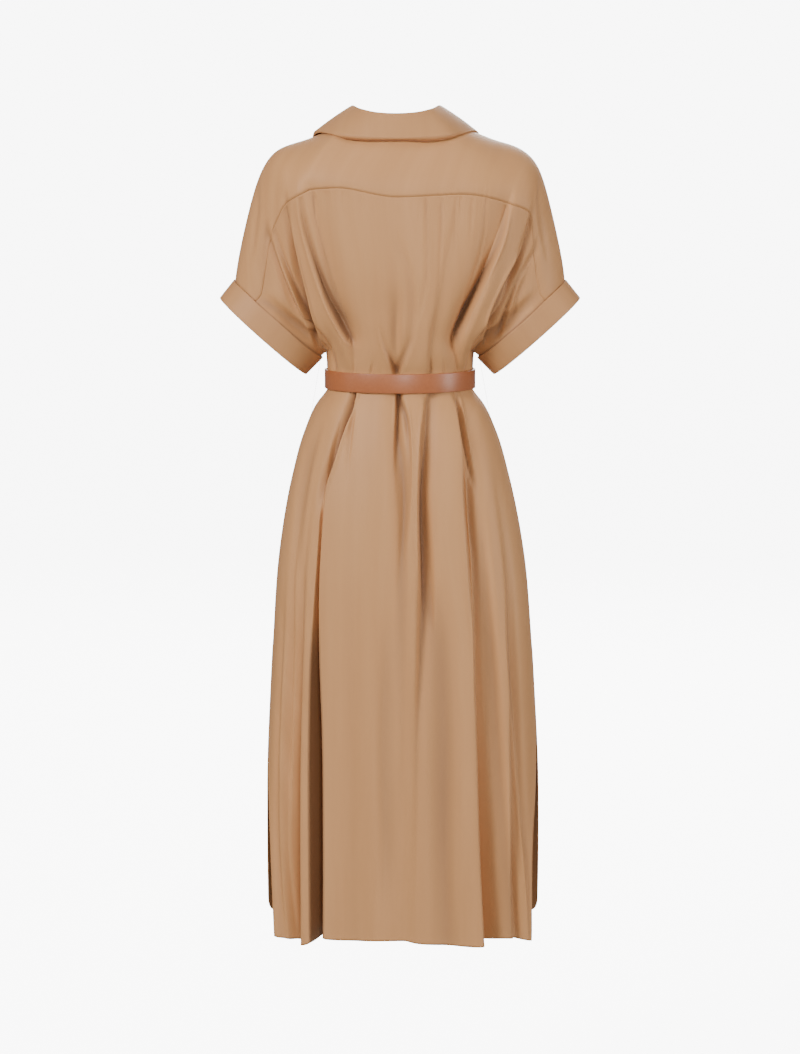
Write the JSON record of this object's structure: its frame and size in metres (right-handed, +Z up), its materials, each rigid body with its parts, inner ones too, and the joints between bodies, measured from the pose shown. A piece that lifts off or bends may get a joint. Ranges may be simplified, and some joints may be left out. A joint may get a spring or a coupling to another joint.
{
  "type": "shirt dress",
  "caption": "Midi shirt dress with turned-back short sleeves, a shoulder yoke, a turned-down collar, deep skirt folds, side slits and a buckled leather belt, held as it is worn.",
  "frame": {"origin": "between the shoulder points at the base of the neck, where the wearer's shoulders carry the dress", "axes": "+Z up, +Y out of the front of the dress, +X towards the wearer's right side"},
  "size_m": [0.541, 0.2597, 1.2574],
  "materials": {
    "dress_cloth": "smooth, softly lustrous woven cloth in camel",
    "belt_leather": "smooth semi-gloss tan leather",
    "buttons": "horn-like brown",
    "buckle_metal": "polished pale gold"
  },
  "bodies": {
    "root": {"back": "dress_cloth", "front_left": "dress_cloth", "front_right": "dress_cloth", "yoke": "dress_cloth", "collar_stand": "dress_cloth", "collar": "dress_cloth", "cuff_left": "dress_cloth", "cuff_right": "dress_cloth", "placket": "dress_cloth", "belt": "belt_leather", "belt_keeper": "belt_leather", "buckle_frame": "buckle_metal", "buckle_prong": "buckle_metal", "button_1": "buttons", "button_2": "buttons", "button_3": "buttons", "button_4": "buttons", "button_5": "buttons", "button_6": "buttons", "button_7": "buttons", "button_8": "buttons", "button_9": "buttons"}
  },
  "joints": []
}
